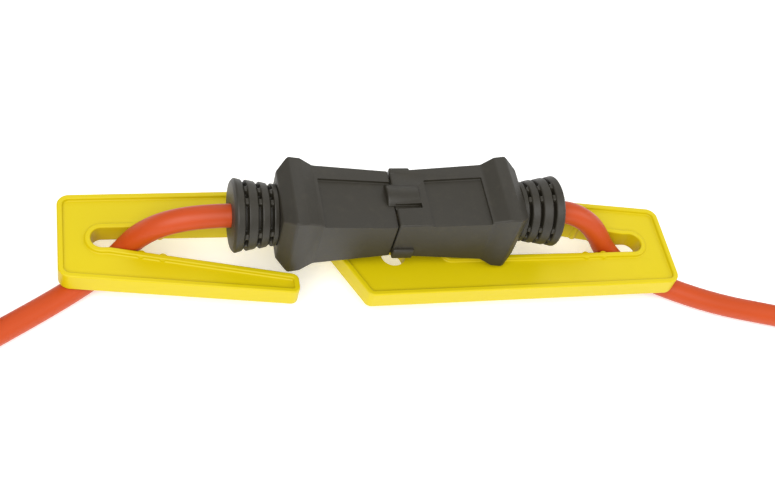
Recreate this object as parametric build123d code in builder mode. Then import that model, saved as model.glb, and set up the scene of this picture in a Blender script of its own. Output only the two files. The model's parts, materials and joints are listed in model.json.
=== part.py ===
from build123d import *
from math import cos, pi, radians, sin, tan
import os

# A mated power plug and connector held together by a one-piece cord lock.
# Millimetres. +X runs along the plug and connector towards the connector's cord, +Z is up,
# and the origin is the centre of the box round the lock, the plug and the connector.

# ---------------------------------------------------------------- cord lock
LOCK_THICK = 9.0
LOCK_MID_Z = -16.5
LOCK_TOP_Z = LOCK_MID_Z + LOCK_THICK / 2
LOCK_BASE_Z = LOCK_MID_Z - LOCK_THICK / 2
END_X = 133.0
END_WIDE_Y = 26.0
END_NARROW_Y = 14.1
TIP_X = 38.0
TIP_OUTER_Y = 25.6
TIP_INNER_Y = 16.3
WEB_X = 9.2
WEB_Y = 27.9
SLOT_EDGE_Y = 9.0
WEB_TOP_X = 28.3
SLOT_END_X = 115.3
SLOT_END_R = 4.8
SLOT_END_Y = SLOT_EDGE_Y - SLOT_END_R
SLOT_START_X = 113.0
RIM_WIDTH = 2.4
FLOOR_DEPTH = 1.5
BEAD_WIDTH = 2.2
END_CORNER_R = 5.0
ARM_CORNER_R = 3.0
HOLE_R = 5.4
HOLE_X = 4.2
HOLE_Y = -7.0
TOOTH_R = 1.9
TOOTH_HEIGHT = 0.9
TOOTH_X = (92.0, 100.5)

# ---------------------------------------------------------------- plug and connector
AXIS_Y = 1.5
AXIS_Z = 4.7
FACE_GAP = 0.5
FACE_HALF_Y = 14.4
FACE_HALF_Z = 10.2
WAIST_HALF_Y = 15.5
WAIST_HALF_Z = 13.0
WING_HALF_Y = 17.3
WING_HALF_Z = 16.4
REAR_HALF = 12.6
WING_THICK = 5.0
WING_FLARE = 5.5
REAR_SLOPE = 4.8
PLUG_WING = 42.7
CONNECTOR_WING = 50.3
GRIP_EDGE_R = 1.2
PANEL_DEPTH = 1.3
PANEL_STRIP = 6.0
PANEL_BACK = 11.5

RELIEF_LENGTH = 18.2
RELIEF_END_R = 15.2
RELIEF_NECK_R = 12.4
RELIEF_VALLEYS = (5.0, 10.4, 15.2)
VALLEY_WIDTH = 1.7
VALLEY_DEPTH = 1.1
SLOT_DEPTH = 2.6
SLOT_ARC = 62.0

KEY_LENGTH = 14.0
KEY_OVERHANG = 3.2
KEY_WIDTH = 8.0
KEY_HEIGHT = 1.9
KEY_Y = 3.8
KEY_CLEARANCE = 0.3
LUG_LENGTH = 9.0
LUG_HEIGHT = 1.4
TRAVEL = 2.0

# NEMA 5-15 sizes
BLADE_SPACING = 12.7
BLADE_WIDTH = 6.35
BLADE_THICK = 1.52
BLADE_OUT = 17.5
PIN_R = 2.375
PIN_OUT = 20.6
PIN_TAIL_R = 1.9
PIN_OFFSET = 11.9
PIN_Y = 6.6
BLADE_Y = PIN_Y - PIN_OFFSET
TAIL_LENGTH = 11.0

INSERT_HALF_Y = 11.6
INSERT_HALF_Z = 8.4
PLUG_INSERT_DEPTH = 12.0
CONNECTOR_INSERT_DEPTH = 27.0
CONTACT_WALL = 0.5
CONTACT_GAP = 0.3
CONTACT_START = 3.0
CONTACT_END = 23.5
WIRE_R = 1.9
WIRE_RING = 2.35
BUNDLE_R = 4.6

# ---------------------------------------------------------------- cords
CORD_D = 9.8
CORD_R = CORD_D / 2
REST_GAP = 0.3
FLOOR_Z = LOCK_BASE_Z - REST_GAP - CORD_D
LOW_Z = FLOOR_Z + CORD_R
CORD_GRIP = 5.0
SLIDE_CLEARANCE = 0.5
HANK_TURNS = 3
HANK_LAYERS = 2
HANK_INNER_R = 30.0
HANK_OUTER_R = HANK_INNER_R + (HANK_TURNS - 1) * CORD_D
HANK_MID_R = (HANK_INNER_R + HANK_OUTER_R) / 2
HANK_SPAN = 56.0
HANK_HEIGHT = HANK_LAYERS * CORD_D
HANK_EDGE_R = 4.5
HANK_Y = -8.0
LEFT_HANK_X = -214.5
RIGHT_HANK_X = 260.4
TIE_WIDTH = 14.0
TIE_THICK = 1.0
TIE_SLACK = 0.15

os.makedirs("parts", exist_ok=True)


def finish(part, label, color):
    """Name a piece, colour it and write it out."""
    part.label = label
    part.color = Color(*color)
    export_step(part, "parts/" + label + ".step")


def turned(points):
    """The same points turned half a turn about the lock's centre."""
    return [(-x, -y) for x, y in points]


# ---------------------------------------------------------------- cord lock
WEDGE_SLOPE = (TIP_INNER_Y - 0.6) / (SLOT_START_X - TIP_X)


def wedge_y(x):
    """Height of the slanting edge of the left slot."""
    return -0.6 - WEDGE_SLOPE * (SLOT_START_X - x)


def slot_mouth(grow):
    """The left slot, mouth and tooth side, for cutting out of the plate; grow widens it for the bead."""
    with BuildSketch() as mouth:
        with BuildLine():
            Polyline(
                (-SLOT_END_X, SLOT_EDGE_Y),
                (-WEB_TOP_X, SLOT_EDGE_Y),
                (-WEB_X, -WEB_Y),
                (-WEB_X - 4, -WEB_Y - 12),
                (-TIP_X, -WEB_Y - 12),
                (-TIP_X, -TIP_INNER_Y),
                (-SLOT_START_X, -0.6),
                (-SLOT_END_X, SLOT_END_Y - SLOT_END_R),
                close=True,
            )
        make_face()
        with Locations((-SLOT_END_X, SLOT_END_Y)):
            Circle(SLOT_END_R)
        if grow:
            offset(amount=grow, kind=Kind.ARC)
    return mouth.sketch


def outer_outline(inset):
    """The lock's outer shape, with rounded corners, made smaller by inset."""
    half = [(-END_X, END_WIDE_Y), (-END_X, -END_NARROW_Y), (-TIP_X, -TIP_OUTER_Y), (-WEB_X, -WEB_Y)]
    with BuildSketch() as outline:
        with BuildLine():
            Polyline(*half, *turned(half), close=True)
        make_face()
        corners = outline.vertices().filter_by(lambda v: abs(v.X) > END_X - 1)
        fillet(corners, radius=END_CORNER_R)
        if inset:
            offset(amount=-inset, kind=Kind.INTERSECTION)
    return outline.sketch


with BuildPart() as cord_lock:
    with BuildSketch(Plane.XY.offset(LOCK_BASE_Z)):
        add(outer_outline(0))
        for turn in (0, 180):
            add(slot_mouth(0).rotate(Axis.Z, turn), mode=Mode.SUBTRACT)
            for tooth_x in TOOTH_X:
                for edge_y, side in ((SLOT_EDGE_Y, 1), (wedge_y(tooth_x), -1)):
                    center = Pos(-tooth_x, edge_y + side * (TOOTH_R - TOOTH_HEIGHT))
                    add((center * Circle(TOOTH_R)).rotate(Axis.Z, turn))
        with Locations((HOLE_X, HOLE_Y), (-HOLE_X, -HOLE_Y)):
            Circle(HOLE_R, mode=Mode.SUBTRACT)
    extrude(amount=LOCK_THICK)
    upright = cord_lock.edges().filter_by(Axis.Z)
    arm_tips = upright.filter_by(lambda e: abs(abs(e.center().X) - TIP_X) < 0.1)
    fillet(arm_tips, radius=ARM_CORNER_R)
    web_corners = cord_lock.edges().filter_by(Axis.Z).filter_by(
        lambda e: abs(abs(e.center().X) - WEB_X) < 0.1 and abs(abs(e.center().Y) - WEB_Y) < 0.1
    )
    fillet(web_corners, radius=ARM_CORNER_R)
    with BuildSketch(Plane.XY.offset(LOCK_TOP_Z)):
        add(outer_outline(RIM_WIDTH))
        for turn in (0, 180):
            add(slot_mouth(BEAD_WIDTH).rotate(Axis.Z, turn), mode=Mode.SUBTRACT)
    extrude(amount=-FLOOR_DEPTH, mode=Mode.SUBTRACT)
finish(cord_lock.part, "cord_lock", (0.95, 0.85, 0.02))


# ---------------------------------------------------------------- moulded ends
# Each end is made with its mating face at the origin, looking along -X, and its cord leaving along +X.


def flare(half_face, half_waist, half_wing, wing_x):
    """One side's outline of a grip, mirrored to a closed face."""
    tops = [
        (0, half_face),
        (wing_x - WING_THICK - WING_FLARE, half_waist),
        (wing_x - WING_THICK, half_wing - 0.4),
        (wing_x, half_wing),
        (wing_x + REAR_SLOPE, REAR_HALF),
    ]
    with BuildLine() as side:
        FilletPolyline(*tops, radius=1.4)
        Line((wing_x + REAR_SLOPE, REAR_HALF), (wing_x + REAR_SLOPE, 0))
        Line((0, half_face), (0, 0))
        mirror(about=Plane.XZ)
    return side.line


def grip_part(wing_x, insert_depth, is_plug):
    """The soft moulded body with its flared wing, panels, and keys or key seats."""
    with BuildPart() as grip:
        with BuildSketch(Plane.XY):
            add(flare(FACE_HALF_Y, WAIST_HALF_Y, WING_HALF_Y, wing_x))
            make_face()
        extrude(amount=WING_HALF_Z + 1, both=True)
        with BuildSketch(Plane.XZ):
            add(flare(FACE_HALF_Z, WAIST_HALF_Z, WING_HALF_Z, wing_x))
            make_face()
        extrude(amount=WING_HALF_Y + 1, both=True, mode=Mode.INTERSECT)
        ridges = grip.edges().filter_by(
            lambda e: abs(e.center().Y) > 9 and abs(e.center().Z) > 8 and e.length > 3
            and e.center().X > 1 and abs((e @ 1 - e @ 0).X) > 2
        )
        fillet(ridges, radius=GRIP_EDGE_R)
        panel_start = -1 if is_plug else KEY_LENGTH - KEY_OVERHANG + 3
        panel_end = wing_x - PANEL_BACK
        panel_rise = (WAIST_HALF_Z - FACE_HALF_Z) / (wing_x - WING_THICK - WING_FLARE)
        panel_width = 2 * WING_HALF_Y - PANEL_STRIP
        panel_y = PANEL_STRIP - FACE_HALF_Y if is_plug else FACE_HALF_Y - PANEL_STRIP - panel_width
        for turn in (0, 180):
            corner = Plane(
                origin=(panel_start, panel_y, FACE_HALF_Z + panel_rise * panel_start - PANEL_DEPTH),
                x_dir=(1, 0, panel_rise),
                z_dir=(-panel_rise, 0, 1),
            )
            panel = Solid.make_box(panel_end - panel_start, panel_width, 3 * PANEL_DEPTH, corner)
            add(panel.rotate(Axis.X, turn), mode=Mode.SUBTRACT)
        with BuildSketch(Plane.YZ.offset(-1)):
            Rectangle(2 * INSERT_HALF_Y, 2 * INSERT_HALF_Z)
        extrude(amount=insert_depth + 1, mode=Mode.SUBTRACT)
        with BuildSketch(Plane.YZ.offset(insert_depth - 1)):
            Circle(BUNDLE_R)
        extrude(amount=wing_x + REAR_SLOPE - insert_depth + 2, mode=Mode.SUBTRACT)
    return grip.part


def relief_part(neck_x, bore_r, bore_depth):
    """The ribbed strain relief, with round valleys and arc slots between its rings."""
    end_x = neck_x + RELIEF_LENGTH
    with BuildPart() as relief:
        with BuildSketch(Plane.XZ):
            with BuildLine():
                Polyline(
                    (neck_x, 0),
                    (neck_x, RELIEF_NECK_R),
                    (end_x - 3, RELIEF_END_R),
                    (end_x - 1.2, RELIEF_END_R),
                    (end_x, RELIEF_END_R - 1.6),
                    (end_x, 0),
                    close=True,
                )
            make_face()
        revolve(axis=Axis.X)
        for valley in RELIEF_VALLEYS:
            valley_x = end_x - valley
            rim_r = RELIEF_END_R - (RELIEF_END_R - RELIEF_NECK_R) * valley / RELIEF_LENGTH
            with BuildSketch(Plane.YZ.offset(valley_x - VALLEY_WIDTH / 2)):
                Circle(rim_r + 2)
                Circle(rim_r - VALLEY_DEPTH, mode=Mode.SUBTRACT)
            extrude(amount=VALLEY_WIDTH, mode=Mode.SUBTRACT)
            with BuildSketch(Plane.YZ.offset(valley_x - VALLEY_WIDTH / 2)):
                for quarter in (45, 135, 225, 315):
                    with BuildLine():
                        inner = CenterArc((0, 0), rim_r - VALLEY_DEPTH - SLOT_DEPTH, quarter - SLOT_ARC / 2, SLOT_ARC)
                        outer = CenterArc((0, 0), rim_r, quarter - SLOT_ARC / 2, SLOT_ARC)
                        Line(inner @ 0, outer @ 0)
                        Line(inner @ 1, outer @ 1)
                    make_face()
            extrude(amount=VALLEY_WIDTH, mode=Mode.SUBTRACT)
        with BuildSketch(Plane.YZ.offset(neck_x - 1)):
            Circle(BUNDLE_R)
        extrude(amount=RELIEF_LENGTH + 1, mode=Mode.SUBTRACT)
        with BuildSketch(Plane.YZ.offset(end_x - bore_depth)):
            Circle(bore_r)
        extrude(amount=bore_depth + 1, mode=Mode.SUBTRACT)
        if bore_r > CORD_R:
            mouth = relief.edges().filter_by(GeomType.CIRCLE).filter_by(
                lambda e: abs(e.radius - bore_r) < 0.01 and abs(e.center().X - end_x) < 0.01
            )
            chamfer(mouth, length=0.8)
    return relief.part


def blade_box(y, z, start, length, grow):
    """A flat blade's shape, or a slightly larger one for the hole that it goes through."""
    with BuildPart() as blade:
        with BuildSketch(Plane.YZ.offset(start)):
            with Locations((y, z)):
                Rectangle(BLADE_WIDTH + 2 * grow, BLADE_THICK + 2 * grow)
        extrude(amount=length)
    return blade.part


def round_bar(y, z, start, length, radius):
    """A round bar along X."""
    with BuildPart() as bar:
        with BuildSketch(Plane.YZ.offset(start)):
            with Locations((y, z)):
                Circle(radius)
        extrude(amount=length)
    return bar.part


def wire_set(prefix, start, end):
    """The cord's three insulated wires, running to the blades or contacts."""
    wires = []
    for name, angle, color in (("line_wire", 90, BLACK), ("neutral_wire", 210, WHITE), ("ground_wire", 330, GREEN)):
        y = WIRE_RING * cos(radians(angle))
        z = WIRE_RING * sin(radians(angle))
        wires.append((prefix + name, round_bar(y, z, start, end - start, WIRE_R), color))
    return wires


def plug_assembly(prefix):
    """Every piece of a moulded plug, blades along -X."""
    neck_x = PLUG_WING + REAR_SLOPE
    end_x = neck_x + RELIEF_LENGTH
    line_blade = blade_box(-BLADE_Y, BLADE_SPACING / 2, -BLADE_OUT, BLADE_OUT + TAIL_LENGTH, 0)
    tip_edges = line_blade.edges().filter_by(Axis.Z).sort_by(Axis.X)[0:2]
    line_blade = chamfer(tip_edges, length=1.2)
    neutral_blade = line_blade.moved(Location((0, 0, -BLADE_SPACING)))
    ground_pin = round_bar(-PIN_Y, 0, -PIN_OUT, PIN_OUT, PIN_R)
    ground_pin = fillet(ground_pin.edges().sort_by(Axis.X)[0], radius=1.8)
    ground_pin += round_bar(-PIN_Y, 0, 0, TAIL_LENGTH, PIN_TAIL_R)
    with BuildPart() as insert:
        with BuildSketch(Plane.YZ):
            Rectangle(2 * INSERT_HALF_Y, 2 * INSERT_HALF_Z)
        extrude(amount=PLUG_INSERT_DEPTH)
        for metal in (line_blade, neutral_blade, ground_pin):
            add(metal, mode=Mode.SUBTRACT)
    pieces = [
        (prefix + "grip", grip_part(PLUG_WING, PLUG_INSERT_DEPTH, True), BLACK),
        (prefix + "strain_relief", relief_part(neck_x, CORD_R, CORD_GRIP), BLACK),
        (prefix + "insert", insert.part, BLACK),
        (prefix + "line_blade", line_blade, BRASS),
        (prefix + "neutral_blade", neutral_blade, BRASS),
        (prefix + "ground_pin", ground_pin, BRASS),
    ]
    return pieces + wire_set(prefix, PLUG_INSERT_DEPTH, end_x - CORD_GRIP)


def connector_assembly(prefix, slide):
    """Every piece of a moulded connector, its sockets facing -X; slide is room for its cord to move."""
    neck_x = CONNECTOR_WING + REAR_SLOPE
    end_x = neck_x + RELIEF_LENGTH
    bore_r = CORD_R + SLIDE_CLEARANCE if slide else CORD_R
    bore_depth = CORD_GRIP + slide
    wall = CONTACT_GAP + CONTACT_WALL
    contact_length = CONTACT_END - CONTACT_START
    contacts = []
    with BuildPart() as insert:
        with BuildSketch(Plane.YZ):
            Rectangle(2 * INSERT_HALF_Y, 2 * INSERT_HALF_Z)
        extrude(amount=CONNECTOR_INSERT_DEPTH)
        for z in (BLADE_SPACING / 2, -BLADE_SPACING / 2):
            add(blade_box(BLADE_Y, z, -1, CONTACT_START + 2, CONTACT_GAP), mode=Mode.SUBTRACT)
            add(blade_box(BLADE_Y, z, CONTACT_START, contact_length, wall), mode=Mode.SUBTRACT)
        add(round_bar(PIN_Y, 0, -1, CONTACT_START + 2, PIN_R + CONTACT_GAP), mode=Mode.SUBTRACT)
        add(round_bar(PIN_Y, 0, CONTACT_START, contact_length, PIN_R + wall), mode=Mode.SUBTRACT)
    for name, z in (("line_contact", BLADE_SPACING / 2), ("neutral_contact", -BLADE_SPACING / 2)):
        with BuildPart() as contact:
            add(blade_box(BLADE_Y, z, CONTACT_START, contact_length, wall))
            add(blade_box(BLADE_Y, z, CONTACT_START, contact_length - 1, CONTACT_GAP), mode=Mode.SUBTRACT)
        contacts.append((prefix + name, contact.part, BRASS))
    with BuildPart() as ground_contact:
        add(round_bar(PIN_Y, 0, CONTACT_START, contact_length, PIN_R + wall))
        add(round_bar(PIN_Y, 0, CONTACT_START, contact_length - 1, PIN_R + CONTACT_GAP), mode=Mode.SUBTRACT)
    with BuildPart() as grip:
        add(grip_part(CONNECTOR_WING, CONNECTOR_INSERT_DEPTH, False))
        for turn in (0, 180):
            root = Plane.XY.offset(INSERT_HALF_Z + 0.6)
            with BuildSketch(root) as key_root:
                with Locations(((KEY_LENGTH - KEY_OVERHANG) / 2, KEY_Y)):
                    Rectangle(KEY_LENGTH - KEY_OVERHANG, KEY_WIDTH)
            key_rise = FACE_HALF_Z + KEY_HEIGHT - root.origin.Z
            key = Solid.extrude(key_root.sketch.face(), Vector(0, 0, key_rise))
            nose_z = FACE_HALF_Z - PANEL_DEPTH + KEY_CLEARANCE
            nose = Solid.make_box(KEY_OVERHANG + 1, KEY_WIDTH, FACE_HALF_Z + KEY_HEIGHT - nose_z,
                                  Plane((-KEY_OVERHANG, KEY_Y - KEY_WIDTH / 2, nose_z)))
            lug = Solid.make_box(LUG_LENGTH, FACE_HALF_Y + LUG_HEIGHT - INSERT_HALF_Y - 0.6, 5.6,
                                 Plane((0, INSERT_HALF_Y + 0.6, FACE_HALF_Z - 5.2)))
            for block in (key, nose, lug):
                add(block.rotate(Axis.X, turn))
        nose_edges = grip.edges().filter_by(Axis.Y).filter_by(
            lambda e: abs(e.center().X + KEY_OVERHANG) < 0.01 and abs(e.center().Z) > FACE_HALF_Z + 1
        )
        fillet(nose_edges, radius=1.6)
    pieces = [
        (prefix + "grip", grip.part, BLACK),
        (prefix + "strain_relief", relief_part(neck_x, bore_r, bore_depth), BLACK),
        (prefix + "insert", insert.part, BLACK),
        *contacts,
        (prefix + "ground_contact", ground_contact.part, BRASS),
    ]
    return pieces + wire_set(prefix, CONNECTOR_INSERT_DEPTH, end_x - bore_depth)


BLACK = (0.09, 0.09, 0.085)
WHITE = (0.85, 0.85, 0.82)
GREEN = (0.05, 0.4, 0.12)
BRASS = (0.75, 0.6, 0.25)
ORANGE = (0.95, 0.22, 0.03)

PLUG_END = PLUG_WING + REAR_SLOPE + RELIEF_LENGTH
CONNECTOR_END = CONNECTOR_WING + REAR_SLOPE + RELIEF_LENGTH
# The far ends lie on the near side of their hanks, looking away from the lock.
END_SETBACK = 6.0
END_SIDE = 37.0
END_Y = HANK_Y - END_SIDE
END_AXIS_Z = FLOOR_Z + HANK_HEIGHT + WING_HALF_Z
TOP_Z = FLOOR_Z + HANK_HEIGHT - CORD_R

# Where each moulded end lies: its place, and its turn about Z.
ends = [
    (plug_assembly("plug_"), Location((-FACE_GAP / 2, AXIS_Y, AXIS_Z), (0, 0, 180))),
    (connector_assembly("connector_", TRAVEL + 1), Location((FACE_GAP / 2, AXIS_Y, AXIS_Z))),
    (
        connector_assembly("far_connector_", 0),
        Location((LEFT_HANK_X - END_SETBACK - CONNECTOR_END, END_Y, END_AXIS_Z)),
    ),
    (
        plug_assembly("far_plug_"),
        Location((RIGHT_HANK_X + END_SETBACK + PLUG_END, END_Y, END_AXIS_Z), (0, 0, 180)),
    ),
]
for pieces, place in ends:
    for label, part, color in pieces:
        finish(part.moved(place), label, color)

# ---------------------------------------------------------------- cords
# Routes from inside each strain relief, through the lock's slot and along the floor to the hank.
left_route = [
    (-FACE_GAP / 2 - PLUG_END + CORD_GRIP, AXIS_Y, AXIS_Z),
    (-75.5, 1.5, 4.7),
    (-91, 1.0, 1.5),
    (-101, 2.2, -8),
    (-106, 3.0, -17.5),
    (-115, -3.0, -25.0),
    (-131, -14.5, LOW_Z),
    (-154, -29.5, LOW_Z),
    (-173, -41.4, LOW_Z),
    (-189.5, -51.2, LOW_Z),
]
right_route = [
    (FACE_GAP / 2 + CONNECTOR_END - CORD_GRIP, AXIS_Y, AXIS_Z),
    (78.5, 1.5, 4.7),
    (89, 0.4, 0.5),
    (97.5, -1.2, -7.5),
    (103.5, -3.0, -17),
    (113, -8.0, -25.0),
    (131, -18.7, LOW_Z),
    (156, -30.0, LOW_Z),
    (184, -37.2, LOW_Z),
    (214, -45.8, LOW_Z),
    (246.1, -55.5, LOW_Z),
]
# The last half turn, which climbs off the hank to the far end: distance past the hank's near fold,
# distance to its side, and height.
lead_turn = [
    (10.0, 49.6, TOP_Z),
    (-10.5, 49.6, TOP_Z + 0.2),
    (-31.4, 38.8, TOP_Z + 2.5),
    (-44.2, 20.0, TOP_Z + 6.5),
    (-47.0, -1.0, TOP_Z + 11.5),
    (-38.5, -20.5, TOP_Z + 16.5),
    (-22.5, -33.3, TOP_Z + 20.3),
    (-6.0, -END_SIDE, END_AXIS_Z),
    (END_SETBACK + CORD_GRIP, -END_SIDE, END_AXIS_Z),
]
left_lead_route = [(LEFT_HANK_X - along, HANK_Y + side, z) for along, side, z in lead_turn]
right_lead_route = [(RIGHT_HANK_X + along, HANK_Y + side, z) for along, side, z in lead_turn]


def bend_radii(name, route):
    """As large a radius at each corner as its two runs allow."""
    points = [Vector(*point) for point in route]
    radii = []
    for before, corner, after in zip(points, points[1:], points[2:]):
        turn = (corner - before).get_angle(after - corner)
        shorter = min((corner - before).length, (after - corner).length)
        radii.append(0.45 * shorter / tan(radians(turn) / 2))
    print(name, "radii", [round(radius, 1) for radius in radii])
    return radii


def cord_tube(name, route):
    """A round cord along straight runs joined by arcs."""
    with BuildPart() as tube:
        with BuildLine() as path:
            FilletPolyline(*route, radius=bend_radii(name, route))
        with BuildSketch(Plane(origin=path.line @ 0, z_dir=path.line % 0)):
            Circle(CORD_R)
        sweep(transition=Transition.RIGHT)
    length = sum(edge.length for edge in path.line.edges())
    ratio = tube.part.volume / (pi * CORD_R ** 2 * length)
    print(name, "length", round(length, 1), "volume ratio", round(ratio, 4))
    return tube.part


def tie_part(middle_x):
    """A strap closed round the far side of a hank."""
    bundle = HANK_TURNS * CORD_D
    with BuildPart() as tie:
        with BuildSketch(Plane.YZ.offset(middle_x)):
            with Locations((HANK_Y + HANK_MID_R, FLOOR_Z + HANK_HEIGHT / 2 + TIE_THICK / 2)):
                RectangleRounded(bundle + 2 * TIE_THICK + 2 * TIE_SLACK, HANK_HEIGHT + TIE_THICK, CORD_R)
                RectangleRounded(
                    bundle + 2 * TIE_SLACK, HANK_HEIGHT - TIE_THICK, CORD_R - TIE_THICK, mode=Mode.SUBTRACT
                )
        extrude(amount=TIE_WIDTH / 2, both=True)
    return tie.part


def hank_part(middle_x, tie):
    """The outer shape of a flat hank, pressed in where its tie passes under it."""
    with BuildPart() as hank:
        with BuildSketch(Plane.XY.offset(FLOOR_Z)):
            with Locations((middle_x, HANK_Y)):
                SlotCenterToCenter(HANK_SPAN, 2 * (HANK_OUTER_R + CORD_R))
                SlotCenterToCenter(HANK_SPAN, 2 * (HANK_INNER_R - CORD_R), mode=Mode.SUBTRACT)
        extrude(amount=HANK_HEIGHT)
        fillet(hank.faces().filter_by(Axis.Z).edges(), radius=HANK_EDGE_R)
        add(tie, mode=Mode.SUBTRACT)
    return hank.part


for side, middle_x, route, lead_route in (
    ("left_", LEFT_HANK_X - HANK_SPAN / 2, left_route, left_lead_route),
    ("right_", RIGHT_HANK_X + HANK_SPAN / 2, right_route, right_lead_route),
):
    cord = cord_tube(side + "cord", route)
    lead = cord_tube(side + "lead", lead_route)
    tie = tie_part(middle_x)
    hank = hank_part(middle_x, tie)
    finish(cord, side + "cord", ORANGE)
    finish(lead, side + "lead", ORANGE)
    finish(tie, side + "tie", BLACK)
    finish(hank, side + "hank", ORANGE)
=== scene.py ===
"""A plug and connector held together by a flat cord lock, on two heavy orange cords."""

import json
import math

import bmesh
import bpy
from bpy.props import FloatProperty, FloatVectorProperty, IntProperty, PointerProperty
from mathutils import Matrix, Vector

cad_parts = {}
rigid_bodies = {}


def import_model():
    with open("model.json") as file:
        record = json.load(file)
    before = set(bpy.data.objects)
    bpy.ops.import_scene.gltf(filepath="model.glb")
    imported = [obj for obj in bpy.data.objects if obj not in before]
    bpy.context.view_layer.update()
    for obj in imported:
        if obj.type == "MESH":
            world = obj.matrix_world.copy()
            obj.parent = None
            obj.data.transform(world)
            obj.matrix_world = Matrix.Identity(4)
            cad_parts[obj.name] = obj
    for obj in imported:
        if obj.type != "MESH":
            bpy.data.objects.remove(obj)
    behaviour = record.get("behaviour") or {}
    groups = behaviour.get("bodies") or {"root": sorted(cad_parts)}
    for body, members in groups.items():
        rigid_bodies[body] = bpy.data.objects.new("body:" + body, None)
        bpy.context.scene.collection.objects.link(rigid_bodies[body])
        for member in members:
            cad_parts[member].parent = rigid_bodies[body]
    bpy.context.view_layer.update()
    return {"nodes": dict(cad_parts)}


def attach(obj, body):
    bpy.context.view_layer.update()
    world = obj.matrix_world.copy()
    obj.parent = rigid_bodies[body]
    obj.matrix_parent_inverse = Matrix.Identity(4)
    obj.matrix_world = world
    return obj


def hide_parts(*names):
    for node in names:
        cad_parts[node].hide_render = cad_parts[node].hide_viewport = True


bl_info = {
    "name": "Locked Power Cord",
    "version": (1, 0, 0),
    "blender": (4, 5, 0),
    "location": "View3D > Sidebar > Power Cord",
    "description": "Builds a mated plug and connector, their cord lock and their spare cord in hanks",
    "category": "Add Mesh",
}

for spare in list(bpy.data.objects):
    bpy.data.objects.remove(spare)
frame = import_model()
NODES = frame["nodes"]

MM = 0.001

# ---------------------------------------------------------------- sizes, in millimetres
LOCK_BASE_Z = -21.0
LOCK_THICK = 9.0
LOCK_RIM = 2.3
LOCK_FLOOR_DEPTH = 1.5
# Corners of half the lock, each with its rounding: the other half is the same, turned half a turn.
LOCK_CORNERS = (
    (-133.0, 26.0, 5.0),
    (-133.0, -14.1, 5.0),
    (-38.0, -25.6, 3.0),
    (-38.0, -16.3, 3.0),
    (-113.0, -0.6, 0.0),
    (-120.1, -0.6, 4.7),
    (-120.1, 9.0, 4.7),
    (-28.3, 9.0, 2.0),
    (-9.2, -27.9, 3.0),
)
HANG_HOLE = (4.2, -7.0)
HANG_HOLE_R = 5.4
# The slot's slanting side, from the lock's tip to where the slot narrows.
SLANT_START = (38.0, 16.3)
SLANT_END = (113.0, 0.6)
TOOTH_R = 1.9
TOOTH_SETBACK = 0.4
TOOTH_EDGE = 0.35
TOOTH_HEIGHT = 0.9
TOOTH_X = (92.0, 100.5)
SLOT_EDGE_Y = 9.0
# Where the lock's wide faces are divided so that each holds one hole at most.
LOCK_DIVISIONS = (-110, -80, -50, -22, -12, 0, 12, 22, 50, 80, 110)

FACE_HALF = (14.4, 10.2)
WAIST_HALF = (15.5, 13.0)
SHOULDER_HALF = (16.9, 16.0)
WING_HALF = (17.3, 16.4)
REAR_HALF = (12.6, 12.6)
PLUG_WING = 42.7
CONNECTOR_WING = 50.3
REAR_SLOPE = 4.8
INSERT_HALF = (11.6, 8.4)
PLUG_INSERT_DEPTH = 12.0
CONNECTOR_INSERT_DEPTH = 27.0
BUNDLE_R = 4.6
PANEL_STRIP = 6.0
PANEL_DEPTH = 1.3
PANEL_BACK = 11.5

RELIEF_LENGTH = 18.2
RELIEF_END_R = 15.2
RELIEF_NECK_R = 12.4
RELIEF_VALLEYS = (15.2, 10.4, 5.0)
VALLEY_WIDTH = 1.5
VALLEY_DEPTH = 0.4
SLOT_DEPTH = 2.8
SLOT_ARC = 54.0

KEY_START = -3.2
KEY_END = 10.8
KEY_MID_Y = 2.2
KEY_R = 7.0
KEY_TOP = 12.1
GROOVE_SIDES = (-5.6, -3.2)
GROOVE_FLOOR = 9.0
LUG_END = 9.0
LUG_OUT = 15.8

CORD_D = 9.8
CORD_R = CORD_D / 2
FLOOR_Z = -31.1
LOW_Z = FLOOR_Z + CORD_R
HIGH_Z = LOW_Z + CORD_D
HANK_TURNS = 3
HANK_OUTER_R = 49.6
HANK_INNER_R = 30.0
HANK_MID_R = (HANK_OUTER_R + HANK_INNER_R) / 2
HANK_SPAN = 56.0
HANK_HEIGHT = 2 * CORD_D
HANK_Y = -8.0
LEFT_HANK_X = -214.5
RIGHT_HANK_X = 260.4
STEPS_PER_FOLD = 8
# How far round the near fold each cord joins its hank.
LEFT_JOIN = math.radians(60)
RIGHT_JOIN = math.radians(74)
END_SETBACK = 6.0
END_SIDE = 37.0
END_Y = HANK_Y - END_SIDE
END_AXIS_Z = FLOOR_Z + HANK_HEIGHT + WING_HALF[1]
CORD_GRIP = 5.0
SLIDE_GRIP = 8.0
SLIDE_CLEARANCE = 0.5
# Where each cord leaves its strain relief.
LEFT_EXIT = (-65.95, 1.5, 4.7)
RIGHT_EXIT = (73.55, 1.5, 4.7)
STRAP_HALF_WIDTH = 7.0
STRAP_ROOM = 1.0
STRAP_THICK = 0.9
STRAP_EDGE = 0.25

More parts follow.
